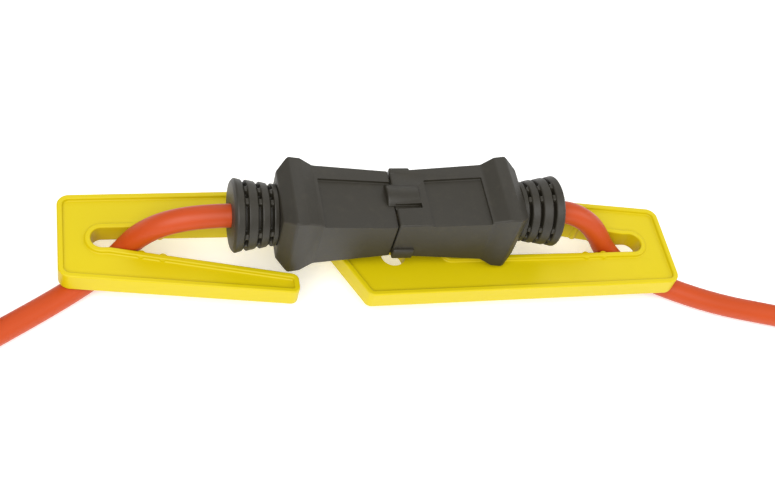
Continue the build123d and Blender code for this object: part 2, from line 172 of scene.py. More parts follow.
LEFT_ROUTE = (
    (-60.95, 1.5, 4.7),
    (-75.5, 1.5, 4.7),
    (-91.0, 1.0, 1.5),
    (-101.0, 2.2, -8.0),
    (-106.0, 3.0, -17.5),
    (-115.0, -3.0, -25.0),
    (-131.0, -14.5, LOW_Z),
    (-154.0, -29.5, LOW_Z),
    (-173.0, -41.4, LOW_Z),
    (-189.5, -51.2, LOW_Z),
)
RIGHT_ROUTE = (
    (68.55, 1.5, 4.7),
    (78.5, 1.5, 4.7),
    (89.0, 0.4, 0.5),
    (97.5, -1.2, -7.5),
    (103.5, -3.0, -17.0),
    (113.0, -8.0, -25.0),
    (131.0, -18.7, LOW_Z),
    (156.0, -30.0, LOW_Z),
    (184.0, -37.2, LOW_Z),
    (214.0, -45.8, LOW_Z),
    (246.1, -55.5, LOW_Z),
)
# The last half turn, which climbs off the hank to the far end: distance past the hank's near fold,
# distance to its side, and height.
LEAD_TURN = (
    (-10.5, 49.6, HIGH_Z + 0.2),
    (-31.4, 38.8, HIGH_Z + 2.5),
    (-44.2, 20.0, HIGH_Z + 6.5),
    (-47.0, -1.0, HIGH_Z + 11.5),
    (-38.5, -20.5, HIGH_Z + 16.5),
    (-22.5, -33.3, HIGH_Z + 20.3),
    (-6.0, -END_SIDE, END_AXIS_Z),
    (END_SETBACK + CORD_GRIP, -END_SIDE, END_AXIS_Z),
)

NEAR_PLUG = Matrix.Translation(Vector((-0.25, 1.5, 4.7)) * MM) @ Matrix.Rotation(math.pi, 4, "Z")
NEAR_CONNECTOR = Matrix.Translation(Vector((0.25, 1.5, 4.7)) * MM)
FAR_CONNECTOR = Matrix.Translation(Vector((LEFT_HANK_X - END_SETBACK - 73.3, END_Y, END_AXIS_Z)) * MM)
FAR_PLUG = (
    Matrix.Translation(Vector((RIGHT_HANK_X + END_SETBACK + 65.7, END_Y, END_AXIS_Z)) * MM)
    @ Matrix.Rotation(math.pi, 4, "Z")
)


# ---------------------------------------------------------------- working in edit mode


def deselect_all():
    """Leave nothing selected, so that the next operator works on one piece."""
    if bpy.context.object and bpy.context.object.mode != "OBJECT":
        bpy.ops.object.mode_set(mode="OBJECT")
    bpy.ops.object.select_all(action="DESELECT")


def take(obj):
    """Make one piece the only one selected."""
    deselect_all()
    obj.select_set(True)
    bpy.context.view_layer.objects.active = obj


def pick(obj, kind, test):
    """In edit mode, select the verts, edges or faces that pass the test."""
    modes = {"VERT": "verts", "EDGE": "edges", "FACE": "faces"}
    bpy.ops.mesh.select_mode(type=kind)
    bpy.ops.mesh.select_all(action="DESELECT")
    mesh = bmesh.from_edit_mesh(obj.data)
    count = 0
    for part in getattr(mesh, modes[kind]):
        if test(part):
            part.select_set(True)
            count += 1
    mesh.select_flush_mode()
    bmesh.update_edit_mesh(obj.data)
    if not count:
        raise RuntimeError(obj.name + ": nothing to select")


def finish_mesh(obj, angle=40):
    """Close seams, point every face outwards and shade smooth over soft edges."""
    take(obj)
    bpy.ops.object.mode_set(mode="EDIT")
    bpy.ops.mesh.select_all(action="SELECT")
    bpy.ops.mesh.remove_doubles(threshold=1e-6)
    bpy.ops.mesh.normals_make_consistent(inside=False)
    bpy.ops.object.mode_set(mode="OBJECT")
    bpy.ops.object.shade_smooth_by_angle(angle=math.radians(angle))


def round_edges(obj, width, angle, segments=3, clamp=True):
    """Round off every edge sharper than the angle."""
    take(obj)
    rounding = obj.modifiers.new("rounding", "BEVEL")
    rounding.width = width * MM
    rounding.segments = segments
    rounding.limit_method = "ANGLE"
    rounding.angle_limit = math.radians(angle)
    rounding.use_clamp_overlap = clamp
    rounding.miter_outer = "MITER_ARC"
    bpy.ops.object.modifier_apply(modifier=rounding.name)


def combine(obj, tool, operation):
    """Cut a tool shape out of a piece, or weld it on, and throw the tool away."""
    take(obj)
    joining = obj.modifiers.new("joining", "BOOLEAN")
    joining.operation = operation
    joining.solver = "EXACT"
    joining.object = tool
    bpy.ops.object.modifier_apply(modifier=joining.name)
    bpy.data.objects.remove(tool)


def set_into(obj, feature):
    """Make a small closed feature, sunk part way into a piece, part of that piece."""
    take(obj)
    feature.select_set(True)
    bpy.ops.object.join()


def block(name, low, high, rounding=0.0, segments=3):
    """A block between two corners with rounded edges, as a tool or a small moulded feature."""
    deselect_all()
    middle = [(a + b) / 2 * MM for a, b in zip(low, high)]
    bpy.ops.mesh.primitive_cube_add(size=1, location=middle)
    piece = bpy.context.object
    piece.name = name
    piece.scale = [(b - a) * MM for a, b in zip(low, high)]
    bpy.ops.object.transform_apply(location=True, rotation=True, scale=True)
    if rounding:
        round_edges(piece, rounding, 30, segments)
    return piece


def bar(name, start, end, radius, along="X", offset=(0, 0), sides=48):
    """A round bar, as a tool for a bore."""
    deselect_all()
    middle = (start + end) / 2
    if along == "X":
        place, turn = (middle * MM, offset[0] * MM, offset[1] * MM), (0, math.pi / 2, 0)
    else:
        place, turn = (offset[0] * MM, offset[1] * MM, middle * MM), (0, 0, 0)
    bpy.ops.mesh.primitive_cylinder_add(
        vertices=sides, radius=radius * MM, depth=(end - start) * MM, location=place, rotation=turn
    )
    piece = bpy.context.object
    piece.name = name
    bpy.ops.object.transform_apply(location=True, rotation=True, scale=True)
    return piece


def trace(name, points):
    """A chain of edges drawn through the points, left in edit mode."""
    deselect_all()
    bpy.ops.mesh.primitive_plane_add(size=MM, location=Vector(points[0]) * MM)
    piece = bpy.context.object
    piece.name = name
    bpy.ops.object.transform_apply(location=True, rotation=True, scale=True)
    bpy.ops.object.mode_set(mode="EDIT")
    bpy.ops.mesh.select_mode(type="VERT")
    bpy.ops.mesh.select_all(action="SELECT")
    bpy.ops.mesh.merge(type="CENTER")
    for before, after in zip(points, points[1:]):
        step = (Vector(after) - Vector(before)) * MM
        bpy.ops.mesh.extrude_region_move(TRANSFORM_OT_translate={"value": step})
    return piece


def copy_of(piece, name, place):
    """A copy with its own mesh, carried to its place."""
    mesh = piece.data.copy()
    mesh.transform(place)
    mesh.update()
    twin = bpy.data.objects.new(name, mesh)
    bpy.context.scene.collection.objects.link(twin)
    return twin


# ---------------------------------------------------------------- finishes


class Sum:
    """A shader value that adds and multiplies like a number."""

    def __init__(self, finish, socket):
        self.finish = finish
        self.socket = socket

    def _math(self, operation, first, second):
        made = self.finish.node("ShaderNodeMath", {"operation": operation}, {0: first, 1: second})
        return Sum(self.finish, made.outputs[0])

    def __add__(self, other):
        return self._math("ADD", self, other)

    def __radd__(self, other):
        return self._math("ADD", other, self)

    def __mul__(self, other):
        return self._math("MULTIPLY", self, other)

    def __rmul__(self, other):
        return self._math("MULTIPLY", other, self)

    def above(self, edge, width):
        """0 below the edge, 1 above it, with a soft step between."""
        made = self.finish.node(
            "ShaderNodeMapRange",
            {"interpolation_type": "SMOOTHSTEP"},
            {"Value": self, "From Min": edge - width, "From Max": edge + width},
        )
        return Sum(self.finish, made.outputs[0])


class Finish:
    """One material and its nodes."""

    def __init__(self, name):
        self.material = bpy.data.materials.new(name)
        self.material.use_nodes = True
        self.tree = self.material.node_tree
        self.surface = self.tree.nodes["Principled BSDF"]
        self.place = self.node("ShaderNodeTexCoord", {}, {}).outputs["Object"]

    def node(self, kind, settings, inputs):
        """Any node: its settings first, then the values or links of its sockets."""
        made = self.tree.nodes.new(kind)
        for name, value in settings.items():
            setattr(made, name, value)
        for name, value in inputs.items():
            self.set(made.inputs[name], value)
        return made

    def set(self, socket, value):
        """Link a socket to a value or set it."""
        if isinstance(value, Sum):
            self.tree.links.new(value.socket, socket)
        elif isinstance(value, bpy.types.NodeSocket):
            self.tree.links.new(value, socket)
        else:
            socket.default_value = value

    def noise(self, size, detail=2.0, roughness=0.5, stretch=(1, 1, 1)):
        """Cloudy noise whose features are about size millimetres across."""
        where = self.place
        if stretch != (1, 1, 1):
            where = self.node("ShaderNodeMapping", {}, {"Vector": self.place, "Scale": stretch}).outputs[0]
        made = self.node(
            "ShaderNodeTexNoise",
            {},
            {"Vector": where, "Scale": 1 / (size * MM), "Detail": detail, "Roughness": roughness},
        )
        return Sum(self, made.outputs["Fac"])

    def blend(self, amount, first, second):
        """A colour between two colours."""
        made = self.node("ShaderNodeMix", {"data_type": "RGBA"}, {"Factor": amount, 6: first, 7: second})
        return made.outputs[2]

    def bumps(self, height, distance, strength=1.0):
        """Raise the surface a little where height is large."""
        made = self.node(
            "ShaderNodeBump", {}, {"Height": height, "Distance": distance * MM, "Strength": strength}
        )
        self.set(self.surface.inputs["Normal"], made.outputs[0])

    def give(self, **values):
        """Set or link the surface's own sockets."""
        for name, value in values.items():
            self.set(self.surface.inputs[name.replace("_", " ")], value)


def shade(colour, amount):
    """The colour made darker or lighter."""
    return (colour[0] * amount, colour[1] * amount, colour[2] * amount, 1.0)


def yellow_finish(colour):
    """Smooth moulded yellow plastic with a faint orange-peel skin."""
    finish = Finish("lock yellow plastic")
    clouds = finish.noise(30, 3)
    skin = finish.noise(0.7, 2)
    grime = finish.noise(9, 5, 0.65).above(0.66, 0.10)
    body = finish.blend(clouds, shade(colour, 0.96), shade(colour, 1.02))
    body = finish.blend(grime * 0.12, body, shade(colour, 0.80))
    finish.give(Base_Color=body, Roughness=0.34 + 0.10 * clouds + 0.10 * grime, IOR=1.33)
    finish.bumps(skin, 0.04, 0.35)
    return finish.material


def cord_finish(colour):
    """Orange vinyl jacket, satin, with fine drawn marks and slight scuffs."""
    finish = Finish("orange vinyl jacket")
    clouds = finish.noise(14, 3)
    grain = finish.noise(0.45, 3, 0.6)
    scuffs = finish.noise(3.5, 5, 0.7).above(0.64, 0.07)
    body = finish.blend(clouds, shade(colour, 0.92), shade(colour, 1.05))
    body = finish.blend(scuffs * 0.16, body, shade(colour, 0.72))
    finish.give(Base_Color=body, Roughness=0.36 + 0.16 * clouds + 0.12 * scuffs, IOR=1.38)
    finish.bumps(grain + 0.6 * clouds, 0.06, 0.45)
    return finish.material


def moulding_finish(colour):
    """Soft black vinyl moulding, fine matt grain with paler rubbed places."""
    finish = Finish("black soft moulding")
    clouds = finish.noise(11, 4, 0.6)
    grain = finish.noise(0.38, 3, 0.65)
    rubs = finish.noise(5, 6, 0.72).above(0.60, 0.10)
    body = finish.blend(clouds, shade(colour, 0.82), shade(colour, 1.2))
    body = finish.blend(rubs * 0.35, body, shade(colour, 1.75))
    finish.give(Base_Color=body, Roughness=0.38 + 0.14 * clouds + 0.10 * grain, IOR=1.45)
    finish.bumps(grain + 0.8 * clouds, 0.07, 0.55)
    return finish.material


def insert_finish():
    """Hard black moulded face."""
    finish = Finish("black hard insert")
    clouds = finish.noise(6, 3)
    grain = finish.noise(0.3, 2)
    body = finish.blend(clouds, (0.018, 0.018, 0.017, 1), (0.032, 0.031, 0.029, 1))
    finish.give(Base_Color=body, Roughness=0.36 + 0.16 * clouds)
    finish.bumps(grain, 0.04, 0.3)
    return finish.material


def brass_finish():
    """Stamped brass with light drawing marks and a little tarnish."""
    finish = Finish("stamped brass")
    drawn = finish.noise(0.5, 3, 0.6, (1, 1, 0.15))
    tarnish = finish.noise(4, 4, 0.6).above(0.56, 0.12)
    body = finish.blend(tarnish * 0.6, (0.80, 0.60, 0.27, 1), (0.48, 0.32, 0.13, 1))
    finish.give(Base_Color=body, Metallic=1.0, Roughness=0.20 + 0.14 * drawn + 0.16 * tarnish)
    finish.bumps(drawn, 0.02, 0.3)
    return finish.material


def wire_finish(name, colour):
    """Smooth insulation of one inner wire."""
    finish = Finish(name)
    clouds = finish.noise(3, 3)
    body = finish.blend(clouds, shade(colour, 0.85), shade(colour, 1.1))
    finish.give(Base_Color=body, Roughness=0.40 + 0.12 * clouds)
    return finish.material


def strap_finish():
    """Black woven strap with crossing yarns."""
    finish = Finish("woven strap")
    waves = []
    for turn in (0.785, -0.785):
        turned = finish.node(
            "ShaderNodeMapping", {}, {"Vector": finish.place, "Rotation": (0.0, 0.0, turn)}
        ).outputs[0]
        made = finish.node("ShaderNodeTexWave", {}, {"Vector": turned, "Scale": 280.0, "Distortion": 0.4})
        waves.append(Sum(finish, made.outputs["Fac"]))
    weave = waves[0] * waves[1]
    fuzz = finish.noise(0.5, 3, 0.7)
    body = finish.blend(weave, (0.008, 0.008, 0.009, 1), (0.045, 0.045, 0.047, 1))
    finish.give(Base_Color=body, Roughness=0.80 + 0.15 * fuzz, Sheen_Weight=0.3)
    finish.bumps(weave + 0.4 * fuzz, 0.25, 0.8)
    return finish.material


def floor_finish(colour):
    """Plain pale studio floor."""
    finish = Finish("studio floor")
    clouds = finish.noise(400, 2)
    finish.give(
        Base_Color=finish.blend(clouds, shade(colour, 0.995), shade(colour, 1.0)),
        Roughness=0.9,
        Specular_IOR_Level=0.1,
        Emission_Color=(1.0, 1.0, 1.0, 1.0),
        Emission_Strength=0.3,
    )
    return finish.material


def dress(piece, material):
    """Give a piece one finish all over."""
    piece.data.materials.clear()
    piece.data.materials.append(material)
    if piece.type == "MESH":
        for face in piece.data.polygons:
            face.material_index = 0


# ---------------------------------------------------------------- settings


class StageSettings(bpy.types.PropertyGroup):
    """Camera, floor and lights."""

    lens: FloatProperty(name="Lens", description="Focal length", default=55.37, unit="CAMERA")
    floor_colour: FloatVectorProperty(
        name="Floor", description="Colour of the floor", default=(0.93, 0.93, 0.93), subtype="COLOR"
    )
    key_power: FloatProperty(name="Key", description="Power of the main light", default=14.0, unit="POWER")
    sky: FloatProperty(name="Sky", description="Strength of the all-round light", default=0.66, min=0.0)


class CordSettings(bpy.types.PropertyGroup):
    """The two cords."""

    diameter: FloatProperty(
        name="Diameter", description="Across the jacket", default=CORD_D * MM, unit="LENGTH", precision=4
    )
    length: FloatProperty(
        name="Length", description="Whole length of each cord", default=2.4, unit="LENGTH"
    )
    colour: FloatVectorProperty(
        name="Jacket", description="Colour of the jacket", default=(0.455, 0.053, 0.004), subtype="COLOR"
    )


class LockSettings(bpy.types.PropertyGroup):
    """The cord lock."""

    edge: FloatProperty(
        name="Edge", description="Rounding of its edges", default=0.55 * MM, unit="LENGTH", precision=4
    )
    segments: IntProperty(name="Segments", description="Steps in a rounded edge", default=3, min=1)
    colour: FloatVectorProperty(
        name="Plastic", description="Colour of the plastic", default=(0.575, 0.455, 0.001), subtype="COLOR"
    )


class MouldingSettings(bpy.types.PropertyGroup):
    """The moulded plugs and connectors."""

    edge: FloatProperty(
        name="Edge", description="Rounding of the grips", default=0.7 * MM, unit="LENGTH", precision=4
    )
    ring_edge: FloatProperty(
        name="Ring Edge", description="Rounding of the relief's rings", default=0.5 * MM, unit="LENGTH",
        precision=4,
    )
    colour: FloatVectorProperty(
        name="Moulding", description="Colour of the soft moulding", default=(0.020, 0.017, 0.0105),
        subtype="COLOR",
    )


# ---------------------------------------------------------------- stage


class CORD_OT_stage(bpy.types.Operator):
    """Add the camera, the floor and the studio lights"""

    bl_idname = "power_cord.stage"
    bl_label = "Stage"

    def execute(self, context):
        settings = context.scene.power_cord_stage
        camera = bpy.data.objects.new("camera", bpy.data.cameras.new("camera"))
        context.scene.collection.objects.link(camera)
        right = Vector((0.9642, -0.1706, 0.2031))
        up = Vector((0.0217, 0.8140, 0.5805))
        towards = right.cross(up)
        turn = Matrix((right, up, towards)).transposed()
        camera.matrix_world = Matrix.Translation((-0.13166, -0.28559, 0.38588)) @ turn.to_4x4()
        camera.data.sensor_width = 36.0
        camera.data.lens = settings.lens
        camera.data.clip_start = 0.01
        camera.data.clip_end = 20.0
        context.scene.camera = camera

        deselect_all()
        bpy.ops.mesh.primitive_plane_add(size=8, location=(0, 0, FLOOR_Z * MM))
        floor = context.object
        floor.name = "floor"
        bpy.ops.object.transform_apply(location=True, rotation=True, scale=True)
        dress(floor, floor_finish(settings.floor_colour))

        for name, place, size, power in (
            ("key light", (-0.42, -0.66, 0.95), 1.1, settings.key_power),
            ("back light", (0.35, 0.95, 0.85), 1.2, settings.key_power * 0.25),
            ("side light", (1.1, -0.35, 0.65), 0.8, settings.key_power * 0.35),
        ):
            lamp = bpy.data.lights.new(name, "AREA")
            lamp.shape = "DISK"
            lamp.size = size
            lamp.energy = power
            light = bpy.data.objects.new(name, lamp)
            context.scene.collection.objects.link(light)
            light.location = place
            light.rotation_euler = (-Vector(place)).to_track_quat("-Z", "Y").to_euler()
        world = bpy.data.worlds.new("studio")
        context.scene.world = world
        world.use_nodes = True
        sky = world.node_tree.nodes["Background"]
        sky.inputs["Color"].default_value = (1.0, 1.0, 1.0, 1.0)
        sky.inputs["Strength"].default_value = settings.sky
        context.scene.view_settings.view_transform = "Standard"
        return {"FINISHED"}


# ---------------------------------------------------------------- cords


def fold_angles(start):
    """Where the points of one fold stand, from its start to the end of its half turn."""
    step = math.pi / STEPS_PER_FOLD
    angles = [(index + 0.5) * step - math.pi / 2 for index in range(STEPS_PER_FOLD)]
    return [angle for angle in angles if angle > start]


def hank_points(middle_x, way, join):
    """Three long turns inwards along the floor, then out again on top, up to the last half turn."""
    radii = [HANK_OUTER_R - turn * CORD_D for turn in range(HANK_TURNS)]
    layers = [(radius, LOW_Z) for radius in radii] + [(radius, HIGH_Z) for radius in reversed(radii)]
    step = math.pi / STEPS_PER_FOLD
    points = []
    for index, (radius, height) in enumerate(layers):
        first = join if index == 0 else -math.pi / 2
        for middle, side, start in ((0.0, -1, first), (HANK_SPAN, 1, -math.pi / 2)):
            wide = radius / math.cos(step / 2)
            for count, angle in enumerate(fold_angles(start)):
                drop = 0.0
                if index == HANK_TURNS and side < 0:
                    drop = CORD_D * max(0.0, 1 - (count + 0.6) / 3)
                along = middle + side * wide * math.cos(angle)
                across = side * wide * math.sin(angle)
                points.append((middle_x + way * along, HANK_Y + across, height - drop))
    return points


def lead_points(middle_x, way):
    """The last half turn up to the far end."""
    return [(middle_x + way * along, HANK_Y + side, height) for along, side, height in LEAD_TURN]


def cord_curve(name, points, diameter, material):
    """A round cord along one smooth spline."""
    curve = bpy.data.curves.new(name, "CURVE")
    curve.dimensions = "3D"
    curve.resolution_u = 6
    curve.bevel_depth = diameter / 2
    curve.bevel_resolution = 6
    curve.use_fill_caps = True
    spline = curve.splines.new("NURBS")
    spline.points.add(len(points) - 1)
    for point, place in zip(spline.points, points):
        point.co = (place[0] * MM, place[1] * MM, place[2] * MM, 1.0)
    spline.order_u = 3
    spline.use_endpoint_u = True
    cord = bpy.data.objects.new(name, curve)
    bpy.context.scene.collection.objects.link(cord)
    curve.materials.append(material)
    return cord


class CORD_OT_cords(bpy.types.Operator):
    """Lay both cords through the lock and fold up their spare length"""

    bl_idname = "power_cord.cords"
    bl_label = "Cords"

    def execute(self, context):
        settings = context.scene.power_cord_cords
        jacket = cord_finish(settings.colour)
        for side, route, middle_x, way, join in (
            ("left", LEFT_ROUTE, LEFT_HANK_X, -1, LEFT_JOIN),
            ("right", RIGHT_ROUTE, RIGHT_HANK_X, 1, RIGHT_JOIN),
        ):
            points = [*route, *hank_points(middle_x, way, join), *lead_points(middle_x, way)]
            cord = cord_curve(side + "_power_cord", points, settings.diameter, jacket)
            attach(cord, "lock_and_cords")
            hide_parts(side + "_cord", side + "_hank", side + "_lead")
        return {"FINISHED"}


# ---------------------------------------------------------------- cord lock


def lock_outline():
    """The lock's face as one rim, in edit mode, with its corners rounded."""
    corners = [*LOCK_CORNERS, *[(-x, -y, r) for x, y, r in LOCK_CORNERS]]
    lock = trace("cord_lock_body", [(x, y, LOCK_BASE_Z) for x, y, r in corners])
    bpy.ops.mesh.select_all(action="SELECT")
    bpy.ops.mesh.edge_face_add()
    count = len(corners)
    for index, (x, y, radius) in enumerate(corners):
        if not radius:
            continue
        before = Vector(corners[index - 1][:2])
        after = Vector(corners[(index + 1) % count][:2])
        here = Vector((x, y))
        turn = (here - before).angle(after - here)
        spot = Vector((x, y, LOCK_BASE_Z)) * MM
        pick(lock, "VERT", lambda vert: (vert.co - spot).length < 1e-5)
        bpy.ops.mesh.bevel(
            offset=radius * math.tan(turn / 2) * MM, segments=10, profile=0.5, affect="VERTICES"
        )
    return lock


class CORD_OT_lock(bpy.types.Operator):
    """Model the flat cord lock with its slots, sunk floor, teeth and holes"""

    bl_idname = "power_cord.lock"
    bl_label = "Cord Lock"

    def execute(self, context):
        settings = context.scene.power_cord_lock
        lock = lock_outline()
        pick(lock, "FACE", lambda face: True)
        bpy.ops.mesh.extrude_region_move(TRANSFORM_OT_translate={"value": (0, 0, LOCK_THICK * MM)})
        top_z = (LOCK_BASE_Z + LOCK_THICK) * MM
        pick(lock, "FACE", lambda face: face.calc_center_median().z > top_z - 1e-5)
        bpy.ops.mesh.inset(thickness=LOCK_RIM * MM, use_boundary=True, use_even_offset=True)
        bpy.ops.mesh.extrude_region_move(
            TRANSFORM_OT_translate={"value": (0, 0, -LOCK_FLOOR_DEPTH * MM)}
        )
        finish_mesh(lock)
        bpy.ops.object.mode_set(mode="EDIT")
        for division in LOCK_DIVISIONS:
            bpy.ops.mesh.select_all(action="SELECT")
            bpy.ops.mesh.bisect(plane_co=(division * MM, 0, 0), plane_no=(1, 0, 0))
        bpy.ops.object.mode_set(mode="OBJECT")
        round_edges(lock, settings.edge / MM, 40, settings.segments, clamp=False)
        for turn in (1, -1):
            hole = bar("hole", LOCK_BASE_Z - 2, LOCK_BASE_Z + LOCK_THICK + 2, HANG_HOLE_R, "Z",
                       (turn * HANG_HOLE[0], turn * HANG_HOLE[1]))
            combine(lock, hole, "DIFFERENCE")
        finish_mesh(lock, 30)
        slope = (SLANT_START[1] - SLANT_END[1]) / (SLANT_END[0] - SLANT_START[0])
        for turn in (1, -1):
            for tooth_x in TOOTH_X:
                slant_y = -SLANT_END[1] - slope * (SLANT_END[0] - tooth_x)
                for edge_y, side in ((SLOT_EDGE_Y, 1), (slant_y, -1)):
                    spot = (-turn * tooth_x, turn * (edge_y + side * (TOOTH_R - TOOTH_HEIGHT)))
                    low, high = LOCK_BASE_Z + TOOTH_SETBACK, LOCK_BASE_Z + LOCK_THICK - TOOTH_SETBACK
                    tooth = bar("tooth", low, high, TOOTH_R, "Z", spot, 32)
                    round_edges(tooth, TOOTH_EDGE, 60, 2)
                    finish_mesh(tooth, 30)
                    set_into(lock, tooth)
        dress(lock, yellow_finish(settings.colour))
        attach(lock, "lock_and_cords")
        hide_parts("cord_lock")
        return {"FINISHED"}


# ---------------------------------------------------------------- moulded ends


def grip_shape(name, wing_x, insert_depth, is_plug, edge):
    """A moulded grip, its mating face at the origin and its cord leaving along +X."""
    stations = (
        (0.0, FACE_HALF),
        (wing_x - 10.5, WAIST_HALF),
        (wing_x - 5.0, SHOULDER_HALF),
        (wing_x, WING_HALF),
        (wing_x + REAR_SLOPE, REAR_HALF),
    )
    deselect_all()
    bpy.ops.mesh.primitive_plane_add(size=2 * MM, rotation=(0, -math.pi / 2, 0))
    grip = bpy.context.object
    grip.name = name
    bpy.ops.object.transform_apply(location=True, rotation=True, scale=True)
    bpy.ops.object.mode_set(mode="EDIT")
    bpy.ops.mesh.select_mode(type="FACE")
    bpy.ops.mesh.select_all(action="SELECT")
    bpy.ops.transform.resize(value=(1, FACE_HALF[0], FACE_HALF[1]), center_override=(0, 0, 0))
    for (from_x, old), (to_x, new) in zip(stations, stations[1:]):
        bpy.ops.mesh.extrude_region_move(TRANSFORM_OT_translate={"value": ((to_x - from_x) * MM, 0, 0)})
        bpy.ops.transform.resize(
            value=(1, new[0] / old[0], new[1] / old[1]), center_override=(to_x * MM, 0, 0)
        )
    finish_mesh(grip)
    round_edges(grip, edge / MM, 12, 4)
    panel_start = -4.0 if is_plug else KEY_END + 3
    panel_end = wing_x - PANEL_BACK
    rise = (WAIST_HALF[1] - FACE_HALF[1]) / (wing_x - 10.5)
    if is_plug:
        side_low, side_high = PANEL_STRIP - FACE_HALF[0], FACE_HALF[0] + 6
    else:
        side_low, side_high = -FACE_HALF[0] - 6, FACE_HALF[0] - PANEL_STRIP
    for turn in (0.0, math.pi):
        cutter = block("panel", (panel_start, side_low, 0.0), (panel_end, side_high, 4.0), 0.5, 3)
        tilt = Matrix.Rotation(-math.atan(rise), 4, "Y")
        lift = Matrix.Translation((0, 0, (FACE_HALF[1] - PANEL_DEPTH) * MM))
        cutter.data.transform(Matrix.Rotation(turn, 4, "X") @ lift @ tilt)
        combine(grip, cutter, "DIFFERENCE")
    seat = block("seat", (-2.0, -INSERT_HALF[0], -INSERT_HALF[1]), (insert_depth, *INSERT_HALF))
    combine(grip, seat, "DIFFERENCE")
    bore = bar("bore", insert_depth - 1, wing_x + REAR_SLOPE + 2, BUNDLE_R)
    combine(grip, bore, "DIFFERENCE")
    if not is_plug:
        for turn in (0.0, math.pi):
            key = bar("key", KEY_START, KEY_END, KEY_R, "X", (KEY_MID_Y, KEY_TOP - KEY_R))
            round_edges(key, 0.9, 60, 4)
            under = block("under", (KEY_START - 1, -FACE_HALF[0], -FACE_HALF[1]),
                          (KEY_END + 1, FACE_HALF[0], FACE_HALF[1] - PANEL_DEPTH + 0.3))
            combine(key, under, "DIFFERENCE")
            lug = block(
                "lug",
                (0.1, INSERT_HALF[0] + 1.0, FACE_HALF[1] - 5.2),
                (LUG_END, LUG_OUT, FACE_HALF[1] + 0.4),
                0.7,
                3,
            )
            groove = block(
                "groove", (-1.0, GROOVE_SIDES[0], GROOVE_FLOOR), (KEY_END, GROOVE_SIDES[1], KEY_TOP)
            )
            groove.data.transform(Matrix.Rotation(turn, 4, "X"))
            combine(grip, groove, "DIFFERENCE")
            for feature in (key, lug):
                feature.data.transform(Matrix.Rotation(turn, 4, "X"))
                combine(grip, feature, "UNION")
    finish_mesh(grip, 38)
    return grip


def relief_shape(name, neck_x, bore_r, bore_depth, edge):
    """A ribbed strain relief, drawn as a section and spun round the cord."""
    end_x = neck_x + RELIEF_LENGTH
    section = [(neck_x, BUNDLE_R), (neck_x, RELIEF_NECK_R)]
    rim_of = {}
    for valley in RELIEF_VALLEYS:
        rim_r = RELIEF_END_R - (RELIEF_END_R - RELIEF_NECK_R) * valley / RELIEF_LENGTH
        low, high = end_x - valley - VALLEY_WIDTH / 2, end_x - valley + VALLEY_WIDTH / 2
        rim_of[(low + high) / 2] = rim_r - VALLEY_DEPTH
        section += [(low, rim_r), (low, rim_r - VALLEY_DEPTH), (high, rim_r - VALLEY_DEPTH), (high, rim_r)]
    section += [
        (end_x - 1.2, RELIEF_END_R),
        (end_x, RELIEF_END_R - 1.6),
        (end_x, bore_r),
        (end_x - bore_depth, bore_r),
        (end_x - bore_depth, BUNDLE_R),
    ]
    relief = trace(name, [(x, 0.0, r) for x, r in section] + [(neck_x, 0.0, BUNDLE_R)])
    bpy.ops.mesh.select_all(action="SELECT")
    bpy.ops.mesh.spin(steps=96, angle=2 * math.pi, center=(0, 0, 0), axis=(1, 0, 0))
    bpy.ops.mesh.select_all(action="SELECT")
    bpy.ops.mesh.remove_doubles(threshold=1e-6)
    bpy.ops.mesh.normals_make_consistent(inside=False)
    for middle, floor_r in rim_of.items():
        deeper = (floor_r - SLOT_DEPTH) / floor_r

        def in_slot(face):
            spot = face.calc_center_median() / MM
            radius = math.hypot(spot.y, spot.z)
            if abs(spot.x - middle) > 0.1 or abs(radius - floor_r) > 0.1:
                return False
            angle = math.degrees(math.atan2(spot.z, spot.y)) % 90
            return abs(angle - 45) < SLOT_ARC / 2 or abs(angle - 90 * (angle > 45)) < 6

        pick(relief, "FACE", in_slot)
        bpy.ops.mesh.extrude_region_move(TRANSFORM_OT_translate={"value": (0, 0, 0)})
        bpy.ops.transform.resize(value=(1, deeper, deeper), center_override=(middle * MM, 0, 0))
    finish_mesh(relief)
    round_edges(relief, edge / MM, 35, 2, clamp=False)
    finish_mesh(relief, 50)
    return relief


class CORD_OT_ends(bpy.types.Operator):
    """Model the grips and ribbed strain reliefs of both plugs and both connectors"""

    bl_idname = "power_cord.ends"
    bl_label = "Moulded Ends"

    def execute(self, context):
        settings = context.scene.power_cord_mouldings
        moulding = moulding_finish(settings.colour)
        plug = grip_shape("plug_grip_pattern", PLUG_WING, PLUG_INSERT_DEPTH, True, settings.edge)
        connector = grip_shape(
            "connector_grip_pattern", CONNECTOR_WING, CONNECTOR_INSERT_DEPTH, False, settings.edge
        )
        plug_relief = relief_shape(
            "plug_relief_pattern", PLUG_WING + REAR_SLOPE, CORD_R, CORD_GRIP, settings.ring_edge
        )
        neck_x = CONNECTOR_WING + REAR_SLOPE
        slide_relief = relief_shape(
            "slide_relief_pattern", neck_x, CORD_R + SLIDE_CLEARANCE, SLIDE_GRIP, settings.ring_edge
        )
        fixed_relief = relief_shape(
            "fixed_relief_pattern", neck_x, CORD_R, CORD_GRIP, settings.ring_edge
        )
        for prefix, grip, relief, place, body in (
            ("plug_", plug, plug_relief, NEAR_PLUG, "lock_and_cords"),
            ("connector_", connector, slide_relief, NEAR_CONNECTOR, "connector"),
            ("far_connector_", connector, fixed_relief, FAR_CONNECTOR, "lock_and_cords"),
            ("far_plug_", plug, plug_relief, FAR_PLUG, "lock_and_cords"),
        ):
            for pattern, label in ((grip, "grip"), (relief, "strain_relief")):
                piece = copy_of(pattern, prefix + label + "_moulding", place)
                dress(piece, moulding)
                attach(piece, body)
                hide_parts(prefix + label)
        for pattern in (plug, connector, plug_relief, slide_relief, fixed_relief):
            bpy.data.objects.remove(pattern)
        return {"FINISHED"}


# ---------------------------------------------------------------- metal, wires and inserts


